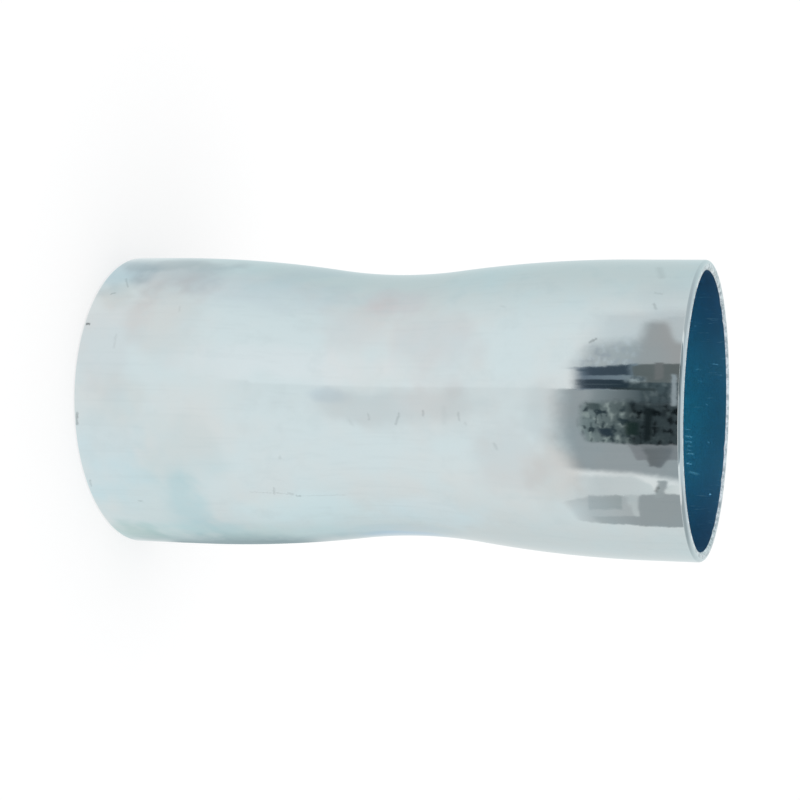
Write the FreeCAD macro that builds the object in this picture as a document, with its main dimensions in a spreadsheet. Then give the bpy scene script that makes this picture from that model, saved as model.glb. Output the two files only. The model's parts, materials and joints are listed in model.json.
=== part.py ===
import FreeCAD, Part
import math
import os
import Sketcher

# A steel slip coupling: one piece of round tube, squeezed in around its middle so
# that the pipes that are pushed in from the two ends stop there. The wall keeps
# its thickness all the way, so the bore narrows where the outside does.
# Millimetres. The sleeve stands on one cut end: the origin is the centre of that
# end, and the tube's axis is +Z.

DRIVING = {
    # The tube that the sleeve is cut from.
    "outside_diameter": 60.3,
    "wall": 2.0,
    "length": 122.0,
    # The straight collar left at each end, which holds a pipe.
    "collar_length": 13.0,
    # How far the wall is pressed in at mid-length, measured on the radius.
    "waist_depth": 3.3,
    # The hollow curve at the bottom of the waist, measured on the outside.
    "waist_radius": 96.0,
    # The cut ends, rounded outside by tumbling and deburred inside.
    "rim_rounding": 0.8,
    "bore_chamfer": 0.45,
}

FOLLOWING = {
    "outside_radius": "=outside_diameter / 2",
    "bore_radius": "=outside_radius - wall",
    "half_length": "=length / 2",
    "shaped_half": "=half_length - collar_length",
    # The centre of the waist curve lies outside the tube.
    "waist_centre": "=outside_radius - waist_depth + waist_radius",
    # The bulging curve that leads from a collar into the waist touches both
    # without a kink, which settles its radius.
    "shoulder_radius": "=(shaped_half ^ 2 + waist_depth ^ 2) / (2 * waist_depth) - waist_radius",
    # The edge breaks shrink with a thin wall, so that a cut end keeps a flat ring.
    "rim_break": "=min(rim_rounding; wall * 0.4)",
    "bore_break": "=min(bore_chamfer; wall * 0.25)",
}

SLEEVE = "coupling_sleeve"
FULL_TURN = 360.0
MATCH = 1e-4

# The ends and the centre of a curve in a sketch. Arcs run anticlockwise.
START, END, CENTRE = 1, 2, 3


def make_dimensions(doc):
    """The sheet of driving sizes and of those that follow, each with an alias."""
    sheet = doc.addObject("Spreadsheet::Sheet", "Dimensions")
    cells = {**DRIVING, **FOLLOWING}
    for row, (alias, content) in enumerate(cells.items(), start=1):
        sheet.set("A%d" % row, alias.replace("_", " "))
        sheet.set("B%d" % row, str(content))
        sheet.setAlias("B%d" % row, alias)
    doc.recompute()
    return sheet


def origin_plane(body, role):
    """One of the body's own origin planes."""
    for feature in body.Origin.OriginFeatures:
        if feature.Role == role:
            return feature
    raise RuntimeError("no origin plane " + role)


def add_line(sketch, start, end):
    line = Part.LineSegment(FreeCAD.Vector(*start, 0), FreeCAD.Vector(*end, 0))
    return sketch.addGeometry(line, False)


def add_arc(sketch, centre, radius, first_angle, last_angle):
    up = FreeCAD.Vector(0, 0, 1)
    circle = Part.Circle(FreeCAD.Vector(*centre, 0), up, radius)
    return sketch.addGeometry(Part.ArcOfCircle(circle, first_angle, last_angle), False)


def join(sketch, kind, first, first_end, second, second_end):
    sketch.addConstraint(Sketcher.Constraint(kind, first, first_end, second, second_end))


def dimension(sketch, name, formula, *constraint):
    """Add a named dimension and tie it to the sheet."""
    value = sketch.evalExpression(formula)
    index = sketch.addConstraint(Sketcher.Constraint(*constraint, value))
    sketch.renameConstraint(index, name)
    sketch.setExpression("Constraints." + name, formula)


def draw_wall_side(sketch, sheet, depth):
    """One side of the wall, as deep under the outside as asked: a collar, a
    shoulder, the waist, a shoulder and a collar, each tangent to the next.
    """
    radius = sheet.outside_radius - depth
    shoulder = sheet.shoulder_radius - depth
    waist = sheet.waist_radius + depth
    shoulder_centre = sheet.outside_radius - sheet.shoulder_radius
    turn = math.asin(sheet.shaped_half / (sheet.shoulder_radius + sheet.waist_radius))
    low = sheet.collar_length
    high = sheet.length - sheet.collar_length

    side = {
        "low_collar": add_line(sketch, (radius, 0), (radius, low)),
        "low_shoulder": add_arc(sketch, (shoulder_centre, low), shoulder, 0, turn),
        "waist": add_arc(sketch, (sheet.waist_centre, sheet.half_length), waist,
                         math.pi - turn, math.pi + turn),
        "high_shoulder": add_arc(sketch, (shoulder_centre, high), shoulder, -turn, 0),
        "high_collar": add_line(sketch, (radius, high), (radius, sheet.length)),
    }
    join(sketch, "Tangent", side["low_collar"], END, side["low_shoulder"], START)
    join(sketch, "Tangent", side["low_shoulder"], END, side["waist"], END)
    join(sketch, "Tangent", side["waist"], START, side["high_shoulder"], START)
    join(sketch, "Tangent", side["high_shoulder"], END, side["high_collar"], START)
    for collar in (side["low_collar"], side["high_collar"]):
        sketch.addConstraint(Sketcher.Constraint("Vertical", collar))
    return side


def draw_cut_end(sketch, bore_line, outside_line, line_end, radii, height):
    """The square cut across the wall at one end of the tube."""
    bore_radius, outside_radius = radii
    cut = add_line(sketch, (bore_radius, height), (outside_radius, height))
    join(sketch, "Coincident", cut, START, bore_line, line_end)
    join(sketch, "Coincident", cut, END, outside_line, line_end)
    sketch.addConstraint(Sketcher.Constraint("Horizontal", cut))
    return cut


def make_wall_section(body, sheet):
    """The wall cut lengthwise: distance from the axis across, height up."""
    sketch = body.newObject("Sketcher::SketchObject", "WallSection")
    sketch.AttachmentSupport = (origin_plane(body, "XZ_Plane"), "")
    sketch.MapMode = "FlatFace"

    outside = draw_wall_side(sketch, sheet, 0)
    bore = draw_wall_side(sketch, sheet, sheet.wall)
    radii = (sheet.bore_radius, sheet.outside_radius)
    foot = draw_cut_end(sketch, bore["low_collar"], outside["low_collar"], START, radii, 0)
    draw_cut_end(sketch, bore["high_collar"], outside["high_collar"], END, radii, sheet.length)

    # The bore follows the outside about the same centres, one wall further in.
    for curve in ("low_shoulder", "waist", "high_shoulder"):
        join(sketch, "Coincident", outside[curve], CENTRE, bore[curve], CENTRE)
    dimension(sketch, "wall", "Dimensions.wall", "DistanceX", foot, START, foot, END)

    # The tube's size, and the collars left straight at its two ends.
    horizontal_axis, origin = -1, (-1, 1)
    low, high, waist = outside["low_collar"], outside["high_collar"], outside["waist"]
    sketch.addConstraint(Sketcher.Constraint("PointOnObject", foot, END, horizontal_axis))
    for name, line, line_end in (("low_radius", low, START), ("high_radius", high, END)):
        dimension(sketch, name, "Dimensions.outside_radius", "DistanceX", *origin, line, line_end)
    dimension(sketch, "tube_length", "Dimensions.length", "DistanceY", *origin, high, END)
    for name, line in (("low_collar", low), ("high_collar", high)):
        dimension(sketch, name, "Dimensions.collar_length", "DistanceY", line, START, line, END)

    # The waist lies at mid-length.
    dimension(sketch, "waist_radius", "Dimensions.waist_radius", "Radius", waist)
    dimension(sketch, "waist_centre", "Dimensions.waist_centre", "DistanceX", *origin, waist, CENTRE)
    dimension(sketch, "waist_height", "Dimensions.half_length", "DistanceY", *origin, waist, CENTRE)
    return sketch


def end_edges(shape, radius, heights):
    """Names of the round edges of one radius at the tube's two cut ends."""
    names = []
    for number, edge in enumerate(shape.Edges, start=1):
        if not isinstance(edge.Curve, Part.Circle):
            continue
        same_radius = abs(edge.Curve.Radius - radius) < MATCH
        if same_radius and any(abs(edge.Curve.Center.z - height) < MATCH for height in heights):
            names.append("Edge%d" % number)
    if len(names) != len(heights):
        raise RuntimeError("expected one edge of radius %.3f at each end" % radius)
    return names


def make_sleeve(doc, sheet):
    """The tube wall turned about the axis, with its four end edges broken."""
    body = doc.addObject("PartDesign::Body", SLEEVE)
    body.Label = SLEEVE
    section = make_wall_section(body, sheet)
    doc.recompute()
    if not section.FullyConstrained:
        raise RuntimeError("the wall section is not fully constrained")

    tube = body.newObject("PartDesign::Revolution", "Tube")
    tube.Profile = section
    tube.ReferenceAxis = (section, ["V_Axis"])
    tube.Angle = FULL_TURN
    section.Visibility = False
    doc.recompute()

    ends = (0, sheet.length)
    rims = body.newObject("PartDesign::Fillet", "RimRounding")
    rims.Base = (tube, end_edges(tube.Shape, sheet.outside_radius, ends))
    rims.setExpression("Radius", "Dimensions.rim_break")
    doc.recompute()

    mouths = body.newObject("PartDesign::Chamfer", "BoreChamfer")
    mouths.Base = (rims, end_edges(rims.Shape, sheet.bore_radius, ends))
    mouths.setExpression("Size", "Dimensions.bore_break")
    doc.recompute()
    body.Tip = mouths
    return body


def check(doc, body):
    """Stop if a feature has failed or the sleeve isn't one whole solid."""
    for item in doc.Objects:
        if "Invalid" in item.State or "Error" in item.State:
            raise RuntimeError("%s has failed" % item.Name)
    if body.Shape.isNull() or not body.Shape.isValid() or len(body.Shape.Solids) != 1:
        raise RuntimeError("%s is not one valid solid" % body.Label)


def main():
    doc = FreeCAD.newDocument("slip_coupling")
    sheet = make_dimensions(doc)
    sleeve = make_sleeve(doc, sheet)
    doc.recompute()
    check(doc, sleeve)
    os.makedirs("parts", exist_ok=True)
    sleeve.Shape.exportStep("parts/%s.step" % sleeve.Label)

    box = sleeve.Shape.optimalBoundingBox()
    print("%s: %.2f x %.2f x %.2f mm, %.1f mm3, shoulder radius %.1f mm"
          % (sleeve.Label, box.XLength, box.YLength, box.ZLength,
             sleeve.Shape.Volume, sheet.shoulder_radius))


main()
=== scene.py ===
import json
import math

import bpy
import numpy as np
from mathutils import Matrix, Vector, noise


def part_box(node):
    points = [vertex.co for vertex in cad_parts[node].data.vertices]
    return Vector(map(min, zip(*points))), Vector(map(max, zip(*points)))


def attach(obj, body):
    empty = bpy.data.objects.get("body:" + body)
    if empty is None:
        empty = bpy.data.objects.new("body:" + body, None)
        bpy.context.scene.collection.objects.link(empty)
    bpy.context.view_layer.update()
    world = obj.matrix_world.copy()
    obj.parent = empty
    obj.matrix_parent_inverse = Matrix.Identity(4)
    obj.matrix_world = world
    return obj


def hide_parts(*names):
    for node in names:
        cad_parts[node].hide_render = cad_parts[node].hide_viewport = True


# A polished, zinc-plated steel slip coupling that stands on one end, in a white
# light tent. Metres, in the row's frame: +Z up the tube's axis, z = 0 where it
# stands. The camera lies on its side, so the sleeve lies across the picture.

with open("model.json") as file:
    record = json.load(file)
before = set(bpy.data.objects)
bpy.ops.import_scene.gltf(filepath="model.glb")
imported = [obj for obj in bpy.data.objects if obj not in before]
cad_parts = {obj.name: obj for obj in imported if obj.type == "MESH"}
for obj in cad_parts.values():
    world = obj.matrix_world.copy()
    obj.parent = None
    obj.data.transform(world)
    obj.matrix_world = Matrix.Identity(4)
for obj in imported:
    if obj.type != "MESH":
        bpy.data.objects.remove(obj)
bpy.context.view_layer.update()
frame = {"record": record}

MM = 0.001
NODE = "coupling_sleeve"

# The sleeve's sizes. The overall ones come from the frame.
low_corner, high_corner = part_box(NODE)
OUTSIDE_RADIUS = high_corner.x
LENGTH = high_corner.z
MOUNTS = {mount["name"]: mount for mount in frame["record"]["mounts"]}
WALL = OUTSIDE_RADIUS - MOUNTS["upper_bore"]["dims"]["r_mm"] * MM
COLLAR_LENGTH = 13.0 * MM
WAIST_DEPTH = 3.3 * MM
WAIST_RADIUS = 96.0 * MM
RIM_ROUNDING = 0.8 * MM
BORE_CHAMFER = 0.45 * MM

# The squeezing tool stood a little out of square, so the waist lies this much
# lower on one side of the tube (-X) and higher on the other.
WAIST_TILT = 2.85 * MM

HALF_LENGTH = LENGTH / 2
SHAPED_HALF = HALF_LENGTH - COLLAR_LENGTH
SHOULDER_RADIUS = (SHAPED_HALF**2 + WAIST_DEPTH**2) / (2 * WAIST_DEPTH) - WAIST_RADIUS
TURN_SINE = SHAPED_HALF / (WAIST_RADIUS + SHOULDER_RADIUS)

# The photograph's frame, and the camera that was fitted to the sleeve's outline.
# The photograph is a part cut out of a wider view, so the lens is shifted.
PHOTO_SIZE = 800
SENSOR = 36.0
FOCAL_PIXELS = 1770.7
VIEW_CENTRE = (616.4, 513.0)
CAMERA_PLACE = Vector((0.0, -0.35072, 0.17746))
CAMERA_YAW = math.radians(11.863)
CAMERA_PITCH = math.radians(-3.327)
CAMERA_ROLL = math.radians(-1.206)
# Turns the lying tube's frame, its axis along the picture, into the standing one.
STAND_UP = Matrix.Rotation(math.radians(-90), 3, "Y")

# What the clean zinc reflects of white light: outside in its two tints, and in the
# bore above and below the picture's middle and at its top and bottom. The last one
# is what is left of the bore's tints at the mouth. The bore's blues are partly the
# plate's own and partly painted reflection; the darker ones at its top and bottom,
# and the mouth's, are painted shade.
ZINC_COOL = (0.621, 0.722, 0.745)
ZINC_WARM = (0.655, 0.703, 0.706)
BORE_DEEP = (0.14, 0.60, 0.735)
BORE_BLUE = (0.18, 0.725, 0.86)
BORE_NAVY = (0.24, 0.61, 0.82)
MOUTH_SHADE = (0.75, 0.60, 0.69)

# Clouds and stains in the plating, and reflections of light and shade painted into
# it: a pixel of the photograph, the reach along the tube and round it in millimetres,
# and what the clean tint is multiplied by there.
STAINS_AND_REFLECTIONS = {
    "top_left_blue": (122, 272, 7, 8, (0.76, 0.84, 0.88)),
    "top_left_edge": (166, 264, 11, 4, (0.83, 0.855, 0.86)),
    "top_left_dirt": (118, 293, 4, 5, (0.94, 0.91, 0.89)),
    "top_left_grey": (183, 269, 11, 9, (0.85, 0.815, 0.825)),
    "top_left_warm": (163, 315, 8, 10, (0.965, 0.94, 0.93)),
    "top_blue": (262, 286, 16, 7, (0.97, 0.955, 0.97)),
    "top_edge": (300, 270, 20, 9, (0.93, 0.98, 0.99)),
    "top_edge_end": (330, 273, 7, 5, (0.95, 0.95, 0.97)),
    "end_rosy": (105, 345, 8, 11, (0.98, 0.95, 0.95)),
    "end_cyan": (108, 455, 8, 12, (0.93, 1.0, 1.03)),
    "end_grey": (118, 400, 6, 6, (0.97, 0.96, 0.95)),
    "low_cyan": (150, 505, 13, 11, (0.91, 0.99, 1.01)),
    "blue_column": (190, 512, 5, 10, (0.87, 0.955, 0.975)),
    # Painted reflection of shade at the foot of the blue column, by the low edge.
    "painted_shade_column_foot": (226, 529, 6, 5, (0.86, 0.94, 0.965)),
    "left_grey": (177, 455, 9, 7, (0.93, 0.96, 0.965)),
    # Painted reflections of shade along the low edge, at its left end.
    "low_edge_start": (141, 534, 6, 5, (0.86, 0.90, 0.885)),
    "low_edge_left": (145, 538, 10, 8, (0.82, 0.91, 0.90)),
    "waist_rosy": (393, 300, 8, 5, (0.99, 0.94, 0.955)),
    "waist_warm": (360, 323, 7, 8, (0.99, 0.935, 0.93)),
    "waist_grey": (440, 342, 9, 9, (0.96, 0.93, 0.935)),
    "low_light": (305, 513, 14, 5, (1.015, 1.05, 1.055)),
    "low_light_right": (432, 515, 11, 5, (1.01, 1.055, 1.08)),
    # A painted reflection: a lighter band along the tube.
    "light_band": (300, 366, 22, 4, (1.06, 1.025, 1.025)),
    "smear": (392, 406, 18, 3.8, (0.90, 0.89, 0.89)),
    "smear_end": (325, 395, 4, 1.6, (0.90, 0.92, 0.95)),
    # Painted shade below the faint line along the tube, part of the same reflection.
    "painted_shade_below_line": (470, 412, 20, 7, (0.99, 0.97, 0.965)),
    "smear_gap": (415, 400, 5, 3.5, (1.04, 1.04, 1.045)),
    "rosy_right": (508, 460, 8, 8, (0.94, 0.92, 0.92)),
    "collar_grey": (544, 421, 5, 5.2, (0.89, 0.895, 0.90)),
    "dull_right": (552, 476, 5, 8, (0.94, 0.89, 0.87)),
    "collar_dull": (660, 298, 6, 6, (0.94, 0.95, 0.96)),
}
# Reflections of shade painted along the tube's low edge in the picture, whose outlines are smoother.
PAINTED_EDGE_REFLECTIONS = {
    "low_edge": (230, 545, 26, 10, (0.47, 0.60, 0.65)),
    "low_edge_upper": (225, 538, 28, 7, (0.85, 0.965, 0.97)),
    "low_edge_deep": (244, 541, 9, 6, (0.73, 0.81, 0.82)),
    "low_edge_end": (334, 538, 10, 4, (0.80, 0.85, 0.87)),
    "waist_low_edge": (405, 530, 13, 4, (0.89, 0.94, 0.975)),
    "waist_blue_line": (406, 534, 9, 3.5, (0.74, 0.88, 1.04)),
}
# How far the outlines of the two kinds wander, as a share of a patch's reach, and
# the noise that they follow: its waves in a metre, and then the fall in height, the
# step in size and the number of the finer waves in it.
STAIN_AND_REFLECTION_RAGGED = 0.45
EDGE_RAGGED = 0.14
STAIN_AND_REFLECTION_WAVES = 130
STAIN_AND_REFLECTION_FRACTAL = (1.0, 2.0, 4)
# A stain or painted reflection ends at this share of its reach, and fades over this much of it.
STAIN_AND_REFLECTION_END = 1.35
STAIN_AND_REFLECTION_FADE = 0.9
# A faint line along the tube, through pixels of the photograph: the edge of a painted
# reflection. The plate is painted a little lighter above it and darker below, which
# fades away from it and at its ends.
STEP_LINE = ((215, 379), (310, 386), (400, 388), (562, 388))
STEP_ABOVE, STEP_BELOW = 1.018, 0.965
STEP_FADE = 6.5 * MM
STEP_END_FADE = 5 * MM
# Pits, specks of dirt and short scratches: where each starts and ends, as pixels of
# the photograph, its half width in millimetres and how much of the shine it takes.
MARKS = {
    "end_speck": ((87, 324), (89, 324), 0.34, 0.86),
    "end_notch": ((77, 413), (77, 424), 0.36, 0.42),
    "end_pit": ((90, 480), (91, 486), 0.25, 0.2),
    "top_tick": ((126, 279), (128, 287), 0.25, 0.22),
    "top_speck": ((111, 294), (115, 293), 0.25, 0.3),
    "end_scratch": ((116, 335), (114, 347), 0.35, 0.09),
    "left_tick": ((180, 307), (179, 311), 0.3, 0.08),
    "low_left_speck": ((139, 501), (142, 501), 0.25, 0.18),
    "left_speck": ((280, 457), (280, 458), 0.35, 0.14),
    "low_tick": ((274, 488), (274, 494), 0.24, 0.2),
    "low_scratch": ((250, 492), (276, 493), 0.15, 0.12),
    "low_scratch_next": ((276, 493), (302, 496), 0.15, 0.17),
    "low_scratch_end": ((302, 496), (345, 495), 0.15, 0.12),
    "low_dash": ((288, 493), (293, 494), 0.26, 0.18),
    "low_dash_next": ((297, 496), (301, 496), 0.26, 0.26),
    "smear_tick": ((368, 414), (369, 419), 0.3, 0.14),
    "smear_scratch": ((399, 414), (396, 424), 0.32, 0.2),
    "smear_dot": ((423, 411), (423, 415), 0.3, 0.2),
    "smear_dot_next": ((458, 413), (459, 420), 0.3, 0.16),
    "smear_faint": ((349, 420), (353, 425), 0.35, 0.06),
    "smear_block": ((444, 408), (444, 422), 0.7, 0.04),
    "smear_end_dot": ((465, 423), (466, 424), 0.35, 0.1),
    "waist_speck": ((501, 306), (505, 307), 0.25, 0.08),
    "shoulder_pit": ((494, 444), (497, 449), 0.38, 0.14),
    "shoulder_tick": ((590, 342), (596, 339), 0.32, 0.42),
    "collar_blot": ((659, 268), (662, 277), 0.9, 0.12),
    "collar_dash": ((655, 293), (662, 294), 0.32, 0.13),
    "collar_tick": ((654, 304), (656, 309), 0.34, 0.24),
    "collar_pit": ((656, 491), (658, 488), 0.42, 0.45),
}
# Bright scratches and specks in the far side of the bore, told in the same way. The
# last number is how much of the bright tint they have.
BORE_MARKS = {
    "bore_dash_1": ((686, 429), (690, 430), 0.14, 0.55),
    "bore_dash_2": ((686, 436), (691, 437), 0.18, 0.65),
    "bore_dash_3": ((686, 441.5), (691, 442), 0.17, 0.75),
    "bore_dash_4": ((688, 446), (692, 446.5), 0.14, 0.50),
    "bore_dash_5": ((686, 450), (691, 450.5), 0.15, 0.45),
    "bore_dash_6": ((687, 453.5), (693, 454), 0.18, 0.60),
    "bore_dash_7": ((687, 463.5), (691, 464), 0.22, 0.95),
    "bore_smear": ((690, 472), (697, 474), 0.40, 0.35),
    "bore_dash_8": ((712.5, 364), (718, 364.5), 0.14, 0.55),
    "bore_dash_9": ((696, 369), (701, 369.5), 0.14, 0.40),
    "bore_dash_10": ((698, 381), (702, 381), 0.14, 0.35),
    "bore_speck_1": ((695, 326), (695.5, 326), 0.18, 0.80),
    "bore_speck_2": ((706.5, 404.5), (707, 404.5), 0.18, 0.80),
    "bore_speck_3": ((710, 494.5), (710.5, 494.5), 0.22, 1.0),
    "bore_speck_4": ((708, 442), (709, 442.5), 0.18, 0.60),
}
# The fine noise that roughens a mark's edge, in waves in a metre, how far it moves
# the edge, and how far the edge fades, as a share of the mark's half width.
MARK_WAVES = 2600.0
MARK_SHIFT = 0.6 * MM
MARK_FADE = 1.4


# Camera

CLIP_START = 10 * MM
# How often the search for a pixel's place on the curved wall is repeated, and the
# step in height over which the wall's slope is measured.
SEARCH_STEPS = 4
SLOPE_STEP = 0.2 * MM


def camera_axes():
    """The camera's right, forward and up directions."""
    turn = Matrix.Rotation(CAMERA_YAW, 3, "Z")
    turn = turn @ Matrix.Rotation(CAMERA_PITCH, 3, "X")
    turn = turn @ Matrix.Rotation(CAMERA_ROLL, 3, "Y")
    return (STAND_UP @ turn).transposed()


def make_camera():
    """The camera that was fitted to the photograph."""
    right, forward, up = camera_axes()
    data = bpy.data.cameras.new("camera")
    data.sensor_width = SENSOR
    data.lens = FOCAL_PIXELS * SENSOR / PHOTO_SIZE
    data.shift_x = 0.5 - VIEW_CENTRE[0] / PHOTO_SIZE
    data.shift_y = VIEW_CENTRE[1] / PHOTO_SIZE - 0.5
    data.clip_start = CLIP_START
    camera = bpy.data.objects.new("camera", data)
    bpy.context.scene.collection.objects.link(camera)
    turn = Matrix((right, up, -forward)).transposed().to_4x4()
    camera.matrix_world = Matrix.Translation(CAMERA_PLACE) @ turn
    bpy.context.scene.camera = camera


def photo_ray(column, row):
    """The direction in which the camera looks through a pixel of the photograph."""
    right, forward, up = camera_axes()
    across = (column - VIEW_CENTRE[0]) / FOCAL_PIXELS
    down = (row - VIEW_CENTRE[1]) / FOCAL_PIXELS
    return (forward + right * across - up * down).normalized()


def reach_ring(start, ray, radius, far=False):
    """Where a ray meets a round surface about the tube's axis, on its near or its
    far side: the two roots of a quadratic equation in the distance.
    """
    a = ray.x**2 + ray.y**2
    b = 2 * (start.x * ray.x + start.y * ray.y)
    c = start.x**2 + start.y**2 - radius**2
    root = math.sqrt(max(b * b - 4 * a * c, 0.0))
    return start + ray * ((-b + (root if far else -root)) / (2 * a))


def outside_radius(place):
    """The sleeve's own radius at a place's height and direction."""
    angle = math.atan2(place.y, place.x)
    height = place.z - HALF_LENGTH - WAIST_TILT * math.cos(angle)
    return OUTSIDE_RADIUS - float(wall_inset(height, 0.0))


def photo_point(column, row):
    """Where a pixel of the photograph lands on the near side of the sleeve."""
    ray = photo_ray(column, row)
    place = reach_ring(CAMERA_PLACE, ray, OUTSIDE_RADIUS)
    for _ in range(SEARCH_STEPS):
        place = reach_ring(CAMERA_PLACE, ray, outside_radius(place))
    return place


def bore_point(column, row):
    """Where a pixel of the photograph lands on the far side of the bore."""
    ray = photo_ray(column, row)
    place = reach_ring(CAMERA_PLACE, ray, OUTSIDE_RADIUS - WALL, far=True)
    for _ in range(SEARCH_STEPS):
        place = reach_ring(CAMERA_PLACE, ray, outside_radius(place) - WALL, far=True)
    return place


def mirrored_place(column, row, ring):
    """Where on a wide ring about the tube that pixel's mirror image comes from."""
    place = photo_point(column, row)
    step = Vector((0, 0, SLOPE_STEP))
    rise = outside_radius(place + step) - outside_radius(place - step)
    normal = Vector((place.x, place.y, 0)).normalized() - Vector((0, 0, rise / (2 * SLOPE_STEP)))
    ray = photo_ray(column, row).reflect(normal.normalized())
    return reach_ring(place, ray, ring, far=True)


# Shape of the sleeve

# The mesh: its steps round the tube, and its rows of vertices up the outside, down
# the bore, round a rim's rounding and on a cut end.
AROUND = 360
WALL_ROWS = 190
BORE_ROWS = 36
ROUNDING_ROWS = 8
CUT_ROWS = 2
# A narrow row beside each rounding keeps the straight wall's shading straight.
EDGE_ROW = 0.03 * MM
# Edges that turn by more than this are shaded as edges.
SHARP_ANGLE = math.radians(25)
# The finishes, in the order of the sleeve's materials.
OUTSIDE, CUT_END, BORE = 0, 1, 2
# The wall's unevenness: its height, how it is drawn out along the tube, the scale
# and share of each of its waves, and how far it is sunk so that no wave stands out.
WAVE_HEIGHT = 0.03 * MM
WAVE_STRETCH = 0.6
WAVES = ((2.1, 0.5), (5.3, 0.2))
WAVE_SINK = 0.35
# The nicks in the bore's edge: their depth, their scale, that of the finer ones in
# them and the share of those, the level above which the noise makes a nick, and how
# near to the edge a row has to be.
NICK_DEPTH = 0.3 * MM
NICK_SCALE = 9
NICK_FINER = 3.1
NICK_FINER_SHARE = 0.6
NICK_LEVEL = 0.35
NICK_MARGIN = 0.01 * MM


def wall_inset(height, depth):
    """How far the wall is pressed in, at a height above mid-length and at a depth
    inside the wall: a hollow waist curve between two bulging shoulder curves.
    """
    waist_curve = WAIST_RADIUS + depth
    shoulder_curve = SHOULDER_RADIUS - depth
    turn_height = waist_curve * TURN_SINE
    away = np.abs(height)
    in_waist = np.minimum(away, turn_height)
    waist = WAIST_DEPTH + np.sqrt(waist_curve**2 - in_waist**2) - waist_curve
    from_collar = np.clip(SHAPED_HALF - away, 0.0, SHAPED_HALF - turn_height)
    shoulder = shoulder_curve - np.sqrt(shoulder_curve**2 - from_collar**2)
    return np.where(away < turn_height, waist, shoulder)


def wave(angle, height):
    """The slight unevenness that squeezing and polishing leave in the wall."""
    place = Vector((math.cos(angle), math.sin(angle), height / OUTSIDE_RADIUS * WAVE_STRETCH))
    return sum(noise.noise(place * scale) * share for scale, share in WAVES) - WAVE_SINK


def nick(angle, seed):
    """Small nicks that handling leaves in the bore's edge, as shares of their depth."""
    place = Vector((math.cos(angle) * NICK_SCALE, math.sin(angle) * NICK_SCALE, seed))
    rough = noise.noise(place) + NICK_FINER_SHARE * noise.noise(place * NICK_FINER)
    return max(0.0, rough - NICK_LEVEL)


def section_rows():
    """The wall's section as rows of (depth in the wall, height), up the outside,
    over the upper cut end, down the bore and round the lower cut end.
    """
    ends = (RIM_ROUNDING + EDGE_ROW, LENGTH - RIM_ROUNDING - EDGE_ROW)
    outside = [(0.0, z) for z in np.linspace(*ends, WALL_ROWS - 2)]
    outside = [(0.0, RIM_ROUNDING), *outside, (0.0, LENGTH - RIM_ROUNDING)]
    bore = [(WALL, z) for z in np.linspace(LENGTH - BORE_CHAMFER, BORE_CHAMFER, BORE_ROWS)]
    turns = np.linspace(0, math.pi / 2, ROUNDING_ROWS + 1)[1:]
    rounding = [(RIM_ROUNDING * (1 - math.cos(a)), RIM_ROUNDING * (1 - math.sin(a))) for a in turns]
    flat_end = WALL - BORE_CHAMFER
    cut_end = [*rounding, ((RIM_ROUNDING + flat_end) / 2, 0.0), (flat_end, 0.0)]
    upper = [(depth, LENGTH - drop) for depth, drop in cut_end]
    return [*outside, *upper, *bore, *reversed(cut_end)]


def make_sleeve():
    """The sleeve: the wall's section carried round the axis, with its tilted waist."""
    rows = section_rows()
    angles = np.arange(AROUND) * 2 * math.pi / AROUND
    vertices = []
    for depth, height in rows:
        from_middle = height - HALF_LENGTH - WAIST_TILT * np.cos(angles)
        inset = wall_inset(from_middle, depth)
        radius = OUTSIDE_RADIUS - depth - inset
        lean = np.array([wave(angle, height) for angle in angles]) * WAVE_HEIGHT
        radius = radius + lean
        from_end = min(height, LENGTH - height)
        at_bore_edge = depth == WALL and from_end < BORE_CHAMFER + NICK_MARGIN
        drop = np.array([nick(angle, height) for angle in angles]) * NICK_DEPTH * at_bore_edge
        level = height - np.sign(height - HALF_LENGTH) * drop
        vertices.append(np.stack([radius * np.cos(angles), radius * np.sin(angles), level], axis=1))
    vertices = np.concatenate(vertices)

    faces = []
    kinds = []
    for row in range(len(rows)):
        after = (row + 1) % len(rows)
        for step in range(AROUND):
            beside = (step + 1) % AROUND
            faces.append((row * AROUND + step, row * AROUND + beside,
                          after * AROUND + beside, after * AROUND + step))
        kinds.extend([row_kind(row)] * AROUND)

    mesh = bpy.data.meshes.new("sleeve")
    mesh.from_pydata(vertices.tolist(), [], faces)
    mesh.polygons.foreach_set("material_index", kinds)
    mesh.polygons.foreach_set("use_smooth", [True] * len(faces))
    mesh.update()
    mesh.set_sharp_from_angle(angle=SHARP_ANGLE)
    paint_stains_and_reflections(mesh, vertices)
    sleeve = bpy.data.objects.new("sleeve", mesh)
    bpy.context.scene.collection.objects.link(sleeve)
    return sleeve


def row_kind(row):
    """Which finish the faces between a row of the section and the next one have."""
    bore_start = WALL_ROWS + ROUNDING_ROWS + CUT_ROWS
    bore_end = bore_start + BORE_ROWS - 1
    if row < WALL_ROWS + ROUNDING_ROWS - 1 or row > bore_end + CUT_ROWS:
        return OUTSIDE
    if bore_start <= row < bore_end:
        return BORE
    return CUT_END


def closeness(vertices, patch, ragged):
    """1 in the middle of a patch of the outside, 0 beyond its ragged edge."""
    column, row, along, around = patch[:4]
    middle = photo_point(column, row)
    turn = math.atan2(middle.y, middle.x)
    angles = np.arctan2(vertices[:, 1], vertices[:, 0]) - turn
    angles = (angles + math.pi) % (2 * math.pi) - math.pi
    off = np.hypot((vertices[:, 2] - middle.z) / (along * MM), angles * OUTSIDE_RADIUS / (around * MM))
    share = np.clip((STAIN_AND_REFLECTION_END - off - ragged) / STAIN_AND_REFLECTION_FADE, 0, 1)
    return share * share * (3 - 2 * share)


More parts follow.
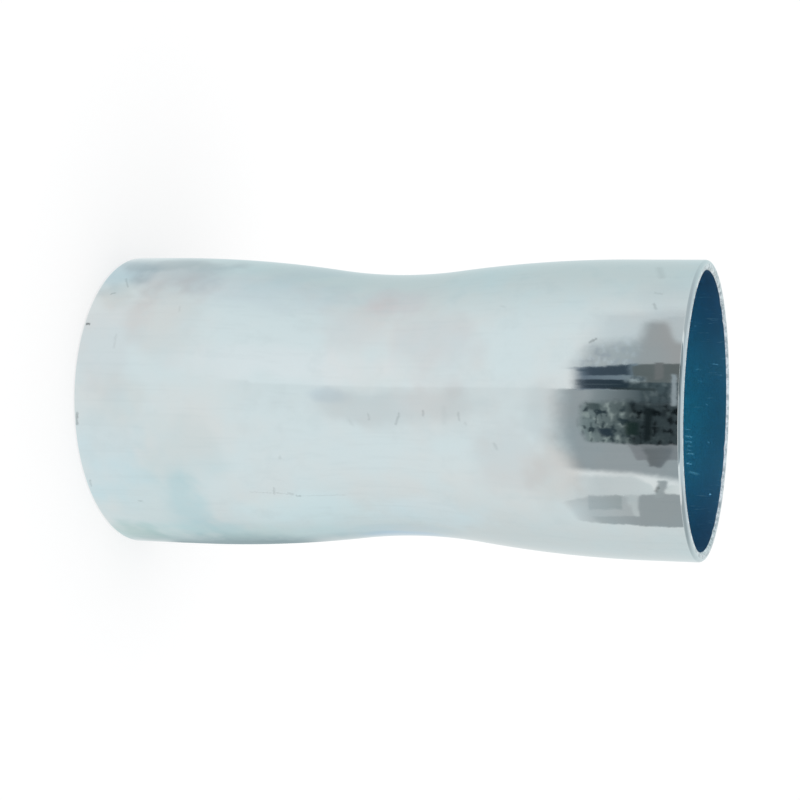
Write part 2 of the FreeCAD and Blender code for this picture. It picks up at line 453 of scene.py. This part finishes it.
def painted_reflection_step(vertices):
    """What the plate's tint is multiplied by about the faint line along the tube: the
    painted edge of a reflection, lighter above and darker below.
    """
    places = [photo_point(*pixel) for pixel in STEP_LINE]
    ends = places[0].z, places[-1].z
    height = vertices[:, 2]
    line = np.interp(height, [place.z for place in places],
                     [math.atan2(place.y, place.x) for place in places])
    below = (np.arctan2(vertices[:, 1], vertices[:, 0]) - line) * OUTSIDE_RADIUS
    from_end = np.minimum(height - ends[0], ends[1] - height)
    share = np.clip(1 - np.abs(below) / STEP_FADE, 0, 1) * np.clip(from_end / STEP_END_FADE, 0, 1)
    return 1 + share * (np.where(below > 0, STEP_BELOW, STEP_ABOVE) - 1)


def paint_stains_and_reflections(mesh, vertices):
    """Keep the stains, and the reflections of light and shade painted with them, with the
    mesh, for the outside's material.
    """
    ragged = np.array([noise.fractal(Vector(v) * STAIN_AND_REFLECTION_WAVES, *STAIN_AND_REFLECTION_FRACTAL) for v in vertices])
    tint = np.ones((len(vertices), 4))
    for stains_and_reflections, wander in ((STAINS_AND_REFLECTIONS, STAIN_AND_REFLECTION_RAGGED), (PAINTED_EDGE_REFLECTIONS, EDGE_RAGGED)):
        for patch in stains_and_reflections.values():
            share = closeness(vertices, patch, ragged * wander)[:, None]
            tint[:, :3] *= 1 + share * (np.array(patch[4]) - 1)
    tint[:, :3] *= painted_reflection_step(vertices)[:, None]
    layer = mesh.color_attributes.new("stains_and_reflections", "FLOAT_COLOR", "POINT")
    layer.data.foreach_set("color", tint.ravel())


# Materials

# The outside's plate. A noise is told by its waves in a metre, its detail and its
# roughness; one that is drawn out along the tube has its own waves along X, Y and Z.
# Where a noise rises from an edge's first number to the second, its own tint is laid
# over the plate's, by up to the share.
CLOUD_NOISE = (30.0, 4.0, 0.6)
CLOUD_EDGE = (0.38, 0.62)
BLOTCH_NOISE = (190.0, 4.0, 0.6)
BLOTCH_EDGE = (0.50, 0.72)
BLOTCH_TINT = (0.56, 0.65, 0.67)
BLOTCH_SHARE = 0.3
STREAK_NOISE = ((900.0, 900.0, 45.0), 2.0, 0.6)
STREAK_EDGE = (0.50, 0.75)
STREAK_TINT = (0.50, 0.58, 0.60)
STREAK_SHARE = 0.12
MARK_TINT = (0.07, 0.085, 0.09)
GRAIN_NOISE = ((900.0, 900.0, 60.0), 3.0, 0.6)
GRAIN_ROUGHNESS = (0.03, 0.07)
FINE_NOISE = (700.0, 2.0, 0.5)
FINE_BUMP = {"Strength": 0.10, "Distance": 0.000006}
# The cut ends: torn metal in two tones.
CUT_NOISE = (700.0, 4.0, 0.75)
CUT_EDGE = (0.38, 0.62)
CUT_DARK = (0.40, 0.46, 0.48)
CUT_BRIGHT = (0.86, 0.90, 0.91)
CUT_ROUGHNESS = 0.28
CUT_BUMP = {"Strength": 0.6, "Distance": 0.0002}
# The bore: the places towards the picture's bottom between which its two blues change
# over, the distances from the middle over which painted shade darkens it, the heights
# over which the mouth's painted shade sets in, and its fine lengthwise scratches,
# which cover only a part of it.
BORE_EDGE = (-9 * MM, 7 * MM)
BORE_SIDES = (0.3 * OUTSIDE_RADIUS, OUTSIDE_RADIUS)
MOUTH_EDGE = (LENGTH - 11 * MM, LENGTH - 1 * MM)
SCRATCH_NOISE = ((1500.0, 1500.0, 260.0), 3.0, 0.6)
SCRATCH_EDGE = (0.60, 0.70)
SCRATCHED_NOISE = (90.0, 2.0, 0.5)
SCRATCHED_EDGE = (0.45, 0.65)
SCRATCH_TINT = (0.50, 0.88, 1.0)
SCRATCH_SHARE = 0.65
SCRATCH_BUMP = {"Strength": 0.15, "Distance": 0.0001}
BORE_MARK_TINT = (0.25, 0.66, 0.94)
BORE_ROUGHNESS = 0.325


class Shader:
    """A material's node tree, built by short calls."""

    def __init__(self, name):
        self.material = bpy.data.materials.new(name)
        self.material.use_nodes = True
        self.nodes = self.material.node_tree.nodes
        self.links = self.material.node_tree.links
        self.nodes.clear()

    def add(self, kind, inputs=None, **settings):
        node = self.nodes.new("ShaderNode" + kind)
        for name, value in settings.items():
            setattr(node, name, value)
        for name, value in (inputs or {}).items():
            if isinstance(value, bpy.types.NodeSocket):
                self.links.new(value, node.inputs[name])
            else:
                node.inputs[name].default_value = value
        return node

    def math(self, operation, first, second=0.0, third=0.0):
        inputs = {0: first, 1: second, 2: third}
        return self.add("Math", inputs, operation=operation).outputs[0]

    def smooth(self, value, low, high):
        """0 below low, 1 above high and smooth between."""
        inputs = {"Value": value, "From Min": low, "From Max": high}
        return self.add("MapRange", inputs, interpolation_type="SMOOTHSTEP").outputs["Result"]

    def mix(self, factor, first, second, blend="MIX"):
        """Mix two colours: the sockets 6 and 7 are the colour inputs."""
        inputs = {0: factor, 6: first, 7: second}
        return self.add("Mix", inputs, data_type="RGBA", blend_type=blend).outputs[2]

    def noise(self, vector, scale, detail, rough):
        inputs = {"Vector": vector, "Scale": scale, "Detail": detail, "Roughness": rough}
        return self.add("TexNoise", inputs).outputs["Fac"]

    def drawn_noise(self, vector, scales, detail, rough):
        """A noise with a scale of its own along each axis."""
        drawn = self.add("Mapping", {"Vector": vector, "Scale": scales}).outputs["Vector"]
        return self.noise(drawn, 1.0, detail, rough)

    def object_place(self):
        return self.add("TexCoord").outputs["Object"]

    def output(self, shader):
        self.add("OutputMaterial", {"Surface": shader})
        return self.material


def rgba(colour):
    return (*colour, 1.0)


def mark_share(s, place, marks, point_at):
    """How much of a mark a place has, where point_at finds the marks' pixels."""
    rough = s.add("TexNoise", {"Vector": place, "Scale": MARK_WAVES, "Detail": 1.0}).outputs["Color"]
    shift = s.add("VectorMath", {0: rough, 1: (0.5, 0.5, 0.5)}, operation="SUBTRACT").outputs[0]
    shift = s.add("VectorMath", {0: shift, "Scale": MARK_SHIFT}, operation="SCALE").outputs[0]
    place = s.add("VectorMath", {0: place, 1: shift}, operation="ADD").outputs[0]
    shares = 0.0
    for start, end, radius, strength in marks.values():
        start, end = point_at(*start), point_at(*end)
        line = end - start
        from_start = s.add("VectorMath", {0: place, 1: start}, operation="SUBTRACT").outputs[0]
        reach = {0: from_start, 1: line / line.length_squared}
        reach = s.add("VectorMath", reach, operation="DOT_PRODUCT").outputs["Value"]
        reach = s.add("Clamp", {"Value": reach}).outputs[0]
        nearest = s.add("VectorMath", {0: line, "Scale": reach}, operation="SCALE").outputs[0]
        off = s.add("VectorMath", {0: from_start, 1: nearest}, operation="DISTANCE").outputs["Value"]
        share = s.math("MULTIPLY", s.smooth(off, radius * MM * MARK_FADE, 0.0), strength)
        shares = s.math("MAXIMUM", shares, share)
    return shares


def zinc_material():
    """Bright zinc plate: nearly a mirror, with clouded tints and faint marks, and with
    reflections of light and shade painted into its tint.
    """
    s = Shader("bright_zinc")
    place = s.object_place()
    clouds = s.noise(place, *CLOUD_NOISE)
    tint = s.mix(s.smooth(clouds, *CLOUD_EDGE), rgba(ZINC_COOL), rgba(ZINC_WARM))
    stains_and_reflections = s.add("VertexColor", layer_name="stains_and_reflections").outputs["Color"]
    tint = s.mix(1.0, tint, stains_and_reflections, "MULTIPLY")
    blotches = s.smooth(s.noise(place, *BLOTCH_NOISE), *BLOTCH_EDGE)
    tint = s.mix(s.math("MULTIPLY", blotches, BLOTCH_SHARE), tint, rgba(BLOTCH_TINT))
    streaks = s.smooth(s.drawn_noise(place, *STREAK_NOISE), *STREAK_EDGE)
    tint = s.mix(s.math("MULTIPLY", streaks, STREAK_SHARE), tint, rgba(STREAK_TINT))
    tint = s.mix(mark_share(s, place, MARKS, photo_point), tint, rgba(MARK_TINT))

    grain = s.drawn_noise(place, *GRAIN_NOISE)
    smoothest, roughest = GRAIN_ROUGHNESS
    roughness = {"Value": grain, "To Min": smoothest, "To Max": roughest}
    roughness = s.add("MapRange", roughness).outputs["Result"]
    fine = s.noise(place, *FINE_NOISE)
    bump = s.add("Bump", {**FINE_BUMP, "Height": fine}).outputs["Normal"]
    surface = s.add("BsdfPrincipled", {"Base Color": tint, "Metallic": 1.0,
                                       "Roughness": roughness, "Normal": bump})
    return s.output(surface.outputs[0])


def cut_end_material():
    """The cut ends: bright and rough, with glints on their torn edge."""
    s = Shader("cut_end_zinc")
    place = s.object_place()
    torn = s.noise(place, *CUT_NOISE)
    tint = s.mix(s.smooth(torn, *CUT_EDGE), rgba(CUT_DARK), rgba(CUT_BRIGHT))
    bump = s.add("Bump", {**CUT_BUMP, "Height": torn}).outputs["Normal"]
    surface = s.add("BsdfPrincipled", {"Base Color": tint, "Metallic": 1.0,
                                       "Roughness": CUT_ROUGHNESS, "Normal": bump})
    return s.output(surface.outputs[0])


def bore_material():
    """The bore: deep blue plate, partly painted reflection, with painted shade at its top,
    bottom and mouth, over the drawn tube's lengthwise scratches.
    """
    s = Shader("blue_bore")
    place = s.object_place()
    split = s.add("SeparateXYZ", {"Vector": place})
    side, height = split.outputs["X"], split.outputs["Z"]
    tint = s.mix(s.smooth(side, *BORE_EDGE), rgba(BORE_DEEP), rgba(BORE_BLUE))
    away = s.smooth(s.math("ABSOLUTE", side), *BORE_SIDES)
    tint = s.mix(away, tint, rgba(BORE_NAVY))
    mouth = s.smooth(height, *MOUTH_EDGE)
    tint = s.mix(mouth, tint, s.mix(1.0, tint, rgba(MOUTH_SHADE), "MULTIPLY"))
    scratches = s.drawn_noise(place, *SCRATCH_NOISE)
    here = s.noise(place, *SCRATCHED_NOISE)
    scratched = s.math("MULTIPLY", s.smooth(scratches, *SCRATCH_EDGE), s.smooth(here, *SCRATCHED_EDGE))
    tint = s.mix(s.math("MULTIPLY", scratched, SCRATCH_SHARE), tint, rgba(SCRATCH_TINT))
    marked = mark_share(s, place, BORE_MARKS, bore_point)
    tint = s.mix(marked, tint, rgba(BORE_MARK_TINT))
    metallic = s.math("SUBTRACT", 1.0, marked)
    bump = s.add("Bump", {**SCRATCH_BUMP, "Height": scratches}).outputs["Normal"]
    surface = s.add("BsdfPrincipled", {"Base Color": tint, "Metallic": metallic,
                                       "Roughness": BORE_ROUGHNESS, "Normal": bump})
    return s.output(surface.outputs[0])


# Light tent

# The tent's tones: on the camera's side, behind the sleeve towards the picture's top
# and bottom, and overhead. Each changes into the next over these shares of a
# direction: how far it points backwards, to the picture's bottom, and upwards.
TENT_FRONT = (1.0, 1.0, 1.0)
TENT_BACK_TOP = (0.70, 0.80, 0.815)
TENT_BACK_BOTTOM = (0.80, 0.84, 0.845)
TENT_TOP = (0.75, 0.80, 0.85)
BACKWARDS = (-0.75, 0.85)
TO_BOTTOM = (-0.5, 0.5)
UPWARDS = (0.35, 0.7)
# The plain light that falls on everything from all around.
WORLD_LEVEL = 1.05
# The floor, its paint and the share of its look that is the tent's glow.
FLOOR_SIZE = 12.0
FLOOR_PAINT = (0.95, 0.95, 0.95)
FLOOR_GLOW = 0.6
# The lamp, aimed at the sleeve's foot.
LAMP_SIZE = 0.9
LAMP_POWER = 2.2
LAMP_PLACE = (0.45, -0.25, 1.1)


def tent_colour(s, vector):
    """The tent's tone in a direction or at a place: white on the camera's side, and
    darker and bluer behind the sleeve, the more so towards the picture's top.
    """
    split = s.add("SeparateXYZ", {"Vector": vector})
    x, y = split.outputs["X"], split.outputs["Y"]
    reach = s.math("SQRT", s.math("ADD", s.math("MULTIPLY", x, x), s.math("MULTIPLY", y, y)))
    behind = s.smooth(s.math("DIVIDE", y, reach), *BACKWARDS)
    lower = s.smooth(s.math("DIVIDE", x, reach), *TO_BOTTOM)
    back = s.mix(lower, rgba(TENT_BACK_TOP), rgba(TENT_BACK_BOTTOM))
    return s.mix(behind, rgba(TENT_FRONT), back)


def tent_sky(s, direction):
    """The tent's tone in a direction, with its greyer top."""
    upwards = s.smooth(s.add("SeparateXYZ", {"Vector": direction}).outputs["Z"], *UPWARDS)
    return s.mix(upwards, tent_colour(s, direction), rgba(TENT_TOP))


class WorldShader(Shader):
    """The world's node tree, built by the same calls."""

    def __init__(self):
        world = bpy.data.worlds.new("light_tent")
        bpy.context.scene.world = world
        world.use_nodes = True
        self.nodes = world.node_tree.nodes
        self.links = world.node_tree.links
        self.nodes.clear()


def make_world():
    """White to the camera, the tent's own tone in what the metal mirrors, and a
    plain level of light on everything.
    """
    s = WorldShader()
    direction = s.add("TexCoord").outputs["Generated"]
    rays = s.add("LightPath")
    plain = s.add("Background", {"Color": rgba(TENT_FRONT), "Strength": WORLD_LEVEL}).outputs[0]
    seen = s.add("Background", {"Color": rgba(TENT_FRONT), "Strength": 1.0}).outputs[0]
    mirrored = s.add("Background", {"Color": tent_sky(s, direction), "Strength": 1.0}).outputs[0]
    shown = s.add("MixShader", {0: rays.outputs["Is Glossy Ray"], 1: plain, 2: mirrored}).outputs[0]
    shown = s.add("MixShader", {0: rays.outputs["Is Camera Ray"], 1: shown, 2: seen}).outputs[0]
    s.add("OutputWorld", {"Surface": shown})


def make_floor():
    """A pale floor, which keeps the sleeve's soft shadow and is mirrored as part of
    the tent.
    """
    bpy.ops.mesh.primitive_plane_add(size=FLOOR_SIZE, location=(0, 0, 0))
    floor = bpy.context.object
    floor.name = "floor"
    s = Shader("tent_floor")
    place = s.add("NewGeometry").outputs["Position"]
    rays = s.add("LightPath")
    paint = s.add("BsdfDiffuse", {"Color": rgba(FLOOR_PAINT)}).outputs[0]
    glow = s.add("Emission", {"Color": rgba(TENT_FRONT), "Strength": 1.0}).outputs[0]
    seen = s.add("MixShader", {0: FLOOR_GLOW, 1: paint, 2: glow}).outputs[0]
    mirrored = s.add("Emission", {"Color": tent_colour(s, place), "Strength": 1.0}).outputs[0]
    shown = s.add("MixShader", {0: rays.outputs["Is Camera Ray"], 1: paint, 2: seen}).outputs[0]
    shown = s.add("MixShader", {0: rays.outputs["Is Glossy Ray"], 1: shown, 2: mirrored}).outputs[0]
    floor.data.materials.append(s.output(shown))


# Painted shade: a dark card on the floor beside the sleeve's foot, seen only in what
# the metal mirrors, along its lower left edge in the picture. It fans out from the
# sleeve's side, so far and through so wide a turn. It counts as so many pixels wide
# and high, and its soft edges are told in these: near, far, and at the two ends of
# the turn.
SHADE_REACH = (8 * MM, 125 * MM)
SHADE_TURN = (math.radians(52), math.radians(-6))
SHADE_HEIGHT = 0.2 * MM
SHADE_COLOUR = (0.30, 0.40, 0.42)
SHADE_SIZE = (200, 200)
SHADE_SOFT = (20, 60, 180, 14)

# Flags: curved cards beside the tube, which shape what the polished metal mirrors
# and are seen by nothing else. The first stands on a ring about the tube, and each
# of the others nearer than the one before it by the gap. A card has so many steps
# each way. Its soft edges are torn by a noise, of so many waves in a pixel, by up to
# so many pixels, and none of them is wider than this share of its card.
FLAG_RING = 100 * MM
FLAG_GAP = 0.8 * MM
CARD_STEPS = 16
TORN_NOISE = (0.17, 4.0, 0.65)
TORN_PIXELS = 3.0
WIDEST_EDGE = 0.98
# Each flag is laid out by its mirror image, as pixels of the photograph: rows of
# places from the top down, each from the left to the right. Then come the light that
# it gives at its left and right edge, as a share of the tent's, its soft edges in
# pixels, left, right, top and bottom, and the kind of its speckles, if it has any.
FLAGS = {
    "surround": ((((541, 388), (640, 388), (700, 388)), ((541, 438), (640, 438), (700, 438)),
                  ((563, 472), (640, 478), (700, 489))),
                 (0.42, 0.45, 0.47), (0.42, 0.45, 0.47), (27, 1, 2, 9)),
    "upper_faint": ((((580, 310), (700, 303)), ((568, 352), (700, 352))),
                    (0.86, 0.87, 0.88), (0.74, 0.77, 0.79), (44, 1, 12, 1)),
    "upper_soft": ((((580, 337), (650, 331)), ((556, 370), (646, 370))),
                   (0.60, 0.635, 0.66), (0.46, 0.48, 0.49), (34, 1, 18, 1), "blotted"),
    "upper_grey": ((((640, 316), (700, 318)), ((630, 345), (700, 343)), ((622, 370), (700, 370))),
                   (0.45, 0.46, 0.47), (0.475, 0.455, 0.455), (18, 1, 9, 1)),
    "upper_light": ((((657, 315), (700, 315)), ((673, 347), (700, 347))),
                    (0.68, 0.71, 0.73), (0.70, 0.73, 0.75), (9, 1, 4, 9)),
    "stripe_base": ((((566, 367), (600, 365.3), (640, 362)), ((567, 391), (600, 390.5), (640, 390))),
                    (0.17, 0.21, 0.27), (0.25, 0.30, 0.34), (20, 3, 2, 1.5)),
    "stripe_fringe": ((((573, 369), (592, 369)), ((573, 372), (592, 372))),
                      (0.12, 0.16, 0.20), (0.12, 0.16, 0.20), (10, 6, 1, 1)),
    "upper_stripe": ((((576, 367), (600, 366), (636, 362.5)), ((578, 376.3), (600, 376), (636, 375.6))),
                     (0.075, 0.10, 0.135), (0.055, 0.08, 0.105), (19, 8, 2, 1.2)),
    "lower_stripe": ((((566, 379), (638, 379)), ((571, 389.5), (638, 389))),
                     (0.055, 0.075, 0.10), (0.022, 0.04, 0.055), (20, 8, 1.2, 1.2)),
    "stripe_line": ((((572, 383.6), (626, 383.6)), ((572, 385), (626, 385))),
                    (0.11, 0.14, 0.17), (0.05, 0.075, 0.09), (8, 8, 0.5, 0.5)),
    "block_foot": ((((628, 380), (700, 381)), ((624, 408), (700, 408))),
                   (0.065, 0.09, 0.10), (0.10, 0.13, 0.145), (6, 1, 2, 5), "faint"),
    "block": ((((632, 366), (641, 363.5), (700, 362.5)), ((634, 383), (641, 383), (700, 384))),
              (0.15, 0.17, 0.17), (0.17, 0.18, 0.18), (5, 1, 1.5, 2)),
    "block_strip": ((((653, 362), (664, 362)), ((653, 381), (664, 381))),
                    (0.22, 0.215, 0.215), (0.22, 0.215, 0.215), (2, 2, 1, 3)),
    "speckled_top": ((((586, 388.5), (642, 388.5)), ((580, 408), (642, 408))),
                     (0.36, 0.40, 0.42), (0.10, 0.13, 0.145), (14, 3, 2, 5)),
    "speckled": ((((577, 400), (640, 396)), ((574, 426), (640, 426)), ((583, 443.5), (640, 446))),
                 (0.27, 0.32, 0.325), (0.06, 0.085, 0.09), (10, 9, 6, 4), "light"),
    "speckled_dark": ((((622, 400), (700, 400)), ((626, 448.5), (700, 448.5))),
                      (0.035, 0.05, 0.055), (0.07, 0.09, 0.10), (12, 1, 6, 4), "dark"),
    "blot_blue": ((((594, 426), (614, 427)), ((600, 437), (616, 438))),
                  (0.04, 0.06, 0.08), (0.03, 0.05, 0.065), (4, 4, 3, 3)),
    "blot_green": ((((622, 421), (641, 420)), ((624, 437), (641, 437))),
                   (0.025, 0.045, 0.04), (0.015, 0.03, 0.03), (5, 4, 4, 3)),
    "blot_black": ((((643, 406), (655, 407)), ((641, 442), (653, 442))),
                   (0.014, 0.022, 0.025), (0.013, 0.020, 0.022), (5, 4, 3, 3)),
    "blot_grey": ((((583, 402), (601, 402)), ((588, 411), (604, 411))),
                  (0.12, 0.15, 0.155), (0.06, 0.09, 0.095), (4, 4, 3, 3)),
    "blot_right": ((((661, 408), (668, 408)), ((660, 419), (668, 419))),
                   (0.025, 0.035, 0.04), (0.025, 0.035, 0.04), (3, 3, 3, 3)),
    "stripe_glint": ((((621, 374), (647, 375)), ((623, 384), (647, 382.5))),
                     (0.27, 0.32, 0.36), (0.26, 0.29, 0.30), (5, 4, 3, 3), "glint"),
    "long_line": ((((604, 386.5), (660, 388)), ((604, 389.5), (660, 391.5))),
                  (0.03, 0.045, 0.055), (0.06, 0.08, 0.085), (10, 10, 1, 1)),
    "low_block": ((((628, 444), (700, 443)), ((636, 461), (700, 461))),
                  (0.30, 0.31, 0.33), (0.30, 0.32, 0.34), (2, 1, 3, 2)),
    "low_block_dark": ((((638, 444), (676, 443)), ((645, 457), (673, 457)), ((649, 468), (661, 469))),
                       (0.185, 0.20, 0.21), (0.215, 0.235, 0.255), (4, 5, 6, 3)),
    "light_band": ((((558, 472), (632, 472), (652, 484)), ((556, 501), (632, 501), (660, 499))),
                   (0.74, 0.76, 0.77), (0.82, 0.86, 0.87), (32, 6, 7, 3)),
    "light_end": ((((663, 484.5), (679, 482.5), (700, 482)), ((667, 501), (679, 498), (700, 498))),
                  (0.80, 0.84, 0.84), (1.0, 1.0, 1.0), (3, 1, 3, 3)),
    "low_grey": ((((558, 502), (589, 495), (700, 493)), ((575, 521), (595, 524.3), (700, 528.3))),
                 (0.86, 0.87, 0.88), (0.42, 0.45, 0.465), (24, 1, 3, 3)),
    "low_grey_left": ((((587, 494), (623, 494)), ((587, 511), (624, 511))),
                      (0.56, 0.59, 0.61), (0.45, 0.49, 0.50), (3, 3, 3, 3)),
    "low_grey_foot": ((((588, 516), (640, 515)), ((596, 524.2), (640, 526.3))),
                      (0.56, 0.59, 0.60), (0.42, 0.45, 0.47), (10, 2, 2, 2)),
    "low_grey_right": ((((638, 494), (666, 492), (700, 496)), ((638, 527.3), (666, 528.3), (700, 528.3))),
                       (0.42, 0.45, 0.465), (0.42, 0.45, 0.465), (2, 1, 3, 2)),
    "link": ((((657, 480), (669, 480)), ((653, 499), (665, 499))),
             (0.46, 0.50, 0.51), (0.42, 0.45, 0.465), (3, 3, 2, 2)),
    "wedge": ((((621, 494), (638, 494)), ((633, 517), (640, 517))),
              (0.67, 0.70, 0.71), (0.67, 0.70, 0.71), (3, 1.5, 2, 2)),
    "bar": ((((670.5, 373.5), (677.5, 373.5)), ((669.5, 407), (677.5, 407))),
            (0.40, 0.44, 0.47), (0.40, 0.44, 0.47), (2.5, 2.5, 3, 2)),
}
# The colours of the light and of the dark speckles. Each kind follows a noise, told
# by its waves in a pixel across and down, where it passes from the edge's first
# number to the second.
LIGHT_NOISE = ((0.16, 0.09, 1.0), 2.0, 0.6)
LIGHT_EDGE = (0.52, 0.66)
DARK_NOISE = ((0.19, 0.12, 1.0), 2.0, 0.5)
DARK_EDGE = (0.49, 0.38)
SPECKLES = {
    "blotted": ((0.61, 0.65, 0.69), (0.47, 0.50, 0.54)),
    "glint": ((0.40, 0.44, 0.46), (0.13, 0.16, 0.18)),
    "faint": ((0.15, 0.18, 0.19), (0.05, 0.07, 0.08)),
    "light": ((0.36, 0.41, 0.40), (0.035, 0.055, 0.065)),
    "dark": ((0.09, 0.115, 0.12), (0.006, 0.010, 0.012)),
}
# What the rounding of the rim mirrors, from a row of the photograph to another, and
# how far in millimetres these flags rise above the others. Then come the light that
# they give and their soft edges at the two rows, in pixels. Their foot and head are
# soft too, in millimetres. The column is that of the rim, and the first of them
# stands on the same ring as the first of the others.
RIM_FLAGS = {
    "rim_top": (255, 334, 170, (0.56, 0.61, 0.64), (34, 5)),
    "rim_middle": (340, 468, 170, (0.34, 0.39, 0.42), (5, 5)),
    "rim_dark": (362, 398, 60, (0.13, 0.16, 0.17), (5, 5)),
    "rim_low": (503, 568, 170, (0.44, 0.49, 0.51), (5, 30)),
}
RIM_COLUMN = 690
RIM_SOFT_FOOT, RIM_SOFT_HEAD = 22, 40


def between(places, share):
    """A place along a line of places, its corners evenly shared out."""
    step = share * (len(places) - 1)
    first = min(int(step), len(places) - 2)
    return places[first].lerp(places[first + 1], step - first)


def flag_material(name, colours, soft, size, speckles):
    """A card's light, from its left to its right edge, with ragged soft edges."""
    s = Shader("flag_" + name)
    split = s.add("SeparateXYZ", {"Vector": s.add("UVMap", uv_map="shares").outputs["UV"]})
    across, down = split.outputs["X"], split.outputs["Y"]
    pixels = s.add("UVMap", uv_map="pixels").outputs["UV"]
    shares = [pixel / size[order // 2] for order, pixel in enumerate(soft)]
    left, right, top, bottom = (min(WIDEST_EDGE, share) for share in shares)
    torn_across, torn_down = TORN_PIXELS / size[0], TORN_PIXELS / size[1]
    ragged = s.math("MULTIPLY_ADD", s.noise(pixels, *TORN_NOISE), 2.0, -1.0)
    cover = None
    for value, near, far, torn in ((across, left, right, torn_across), (down, top, bottom, torn_down)):
        start = s.math("MULTIPLY_ADD", ragged, min(near, torn), value)
        end = s.math("MULTIPLY_ADD", ragged, min(far, torn), value)
        edge = s.math("MULTIPLY", s.smooth(start, 0.0, near), s.smooth(end, 1.0, 1.0 - far))
        cover = edge if cover is None else s.math("MULTIPLY", cover, edge)
    first, second = (rgba(colour) for colour in colours)
    colour = first if first == second else s.mix(across, first, second)
    if speckles:
        light, dark = SPECKLES[speckles]
        light_noise = s.drawn_noise(pixels, *LIGHT_NOISE)
        dark_noise = s.drawn_noise(pixels, *DARK_NOISE)
        colour = s.mix(s.smooth(light_noise, *LIGHT_EDGE), colour, rgba(light))
        colour = s.mix(s.smooth(dark_noise, *DARK_EDGE), colour, rgba(dark))
    clear = s.add("BsdfTransparent").outputs[0]
    glow = s.add("Emission", {"Color": colour, "Strength": 1.0}).outputs[0]
    return s.output(s.add("MixShader", {0: cover, 1: clear, 2: glow}).outputs[0])


def make_card(name, place_at, material):
    """A curved card whose places are told by their shares across and down."""
    vertices, shares, pixels, faces = [], [], [], []
    for row in range(CARD_STEPS + 1):
        for column in range(CARD_STEPS + 1):
            across, down = column / CARD_STEPS, row / CARD_STEPS
            place, pixel = place_at(across, down)
            vertices.append(place)
            shares.append((across, down))
            pixels.append(pixel)
    for row in range(CARD_STEPS):
        for column in range(CARD_STEPS):
            first = row * (CARD_STEPS + 1) + column
            below = first + CARD_STEPS + 1
            faces.append((first, first + 1, below + 1, below))
    mesh = bpy.data.meshes.new("flag_" + name)
    mesh.from_pydata(vertices, [], faces)
    for layer_name, places in (("shares", shares), ("pixels", pixels)):
        layer = mesh.uv_layers.new(name=layer_name)
        for loop in mesh.loops:
            layer.data[loop.index].uv = places[loop.vertex_index]
    card = bpy.data.objects.new("flag_" + name, mesh)
    bpy.context.scene.collection.objects.link(card)
    mesh.materials.append(material)
    card.visible_camera = False
    card.visible_diffuse = False
    card.visible_shadow = False
    card.visible_transmission = False


def make_flag(order, name, rows, first, second, soft, speckles=None):
    """A flag, laid out by its mirror image in the photograph."""
    ring = FLAG_RING - order * FLAG_GAP
    lines = [[Vector(pixel) for pixel in row] for row in rows]

    def place_at(across, down):
        pixel = between([between(line, across) for line in lines], down)
        return mirrored_place(pixel.x, pixel.y, ring), pixel

    middle = lines[len(lines) // 2]
    size = ((middle[-1] - middle[0]).length, (between(lines[-1], 0.5) - between(lines[0], 0.5)).length)
    make_card(name, place_at, flag_material(name, (first, second), soft, size, speckles))


def make_rim_flag(order, name, top, bottom, rise, colour, soft_rows):
    """A flag that only the rounding of the upper rim mirrors."""
    ring = FLAG_RING - order * FLAG_GAP

    def place_at(across, down):
        row = top + (bottom - top) * down
        place = mirrored_place(RIM_COLUMN, row, ring)
        return place + Vector((0, 0, across * rise * MM)), Vector((RIM_COLUMN + across * rise, row))

    soft = (RIM_SOFT_FOOT, RIM_SOFT_HEAD, *soft_rows)
    material = flag_material(name, (colour, colour), soft, (rise, bottom - top), None)
    make_card(name, place_at, material)


def make_painted_floor_shade():
    """Painted shade on the floor beside the foot: a dark card that only the metal mirrors."""
    def place_at(across, down):
        reach = SHADE_REACH[0] + (SHADE_REACH[1] - SHADE_REACH[0]) * across
        turn = SHADE_TURN[0] + (SHADE_TURN[1] - SHADE_TURN[0]) * down
        side = OUTSIDE_RADIUS + reach * math.sin(turn)
        place = Vector((side, reach * math.cos(turn), SHADE_HEIGHT))
        return place, Vector((across * SHADE_SIZE[0], down * SHADE_SIZE[1]))

    colours = (SHADE_COLOUR, SHADE_COLOUR)
    material = flag_material("painted_floor_shade", colours, SHADE_SOFT, SHADE_SIZE, None)
    make_card("painted_floor_shade", place_at, material)


def make_lamp():
    """One large soft lamp above and to the side."""
    data = bpy.data.lights.new("soft_lamp", "AREA")
    data.shape = "DISK"
    data.size = LAMP_SIZE
    data.energy = LAMP_POWER
    lamp = bpy.data.objects.new("soft_lamp", data)
    bpy.context.scene.collection.objects.link(lamp)
    lamp.location = LAMP_PLACE
    lamp.rotation_euler = (-lamp.location).to_track_quat("-Z", "Y").to_euler()
    lamp.visible_glossy = False


# Scene

make_camera()
sleeve = make_sleeve()
for material in (zinc_material(), cut_end_material(), bore_material()):
    sleeve.data.materials.append(material)
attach(sleeve, "root")
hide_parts(NODE)
make_world()
make_floor()
make_lamp()
for order, (name, flag) in enumerate(FLAGS.items()):
    make_flag(order, name, *flag)
for order, (name, flag) in enumerate(RIM_FLAGS.items()):
    make_rim_flag(order, name, *flag)
make_painted_floor_shade()

view = bpy.context.scene.view_settings
view.view_transform = "Standard"
